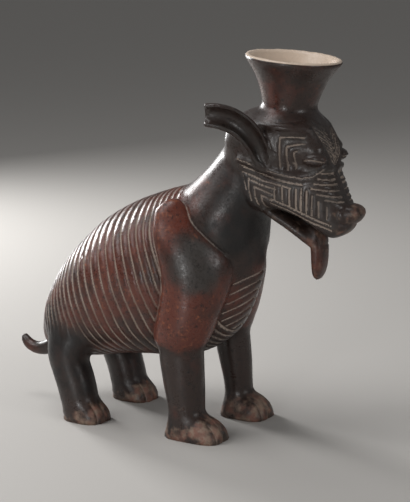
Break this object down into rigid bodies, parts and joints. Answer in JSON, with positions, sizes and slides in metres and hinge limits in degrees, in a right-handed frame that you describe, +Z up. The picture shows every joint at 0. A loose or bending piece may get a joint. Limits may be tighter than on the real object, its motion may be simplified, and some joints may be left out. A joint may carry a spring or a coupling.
{
  "type": "zoomorphic effigy vessel",
  "caption": "Hollow fired-clay vessel shaped as a standing dog-like animal with an incised body and a flared spout on its head.",
  "frame": {"origin": "bottom centre of the part's bounding box, level with the soles", "axes": "+X the way the animal faces, +Y to the animal's left, +Z up"},
  "size_m": [0.3562, 0.152, 0.342],
  "materials": {
    "fired_clay": "burnished red-brown clay with darker fire clouds"
  },
  "bodies": {
    "root": {"vessel": "fired_clay"}
  },
  "joints": []
}
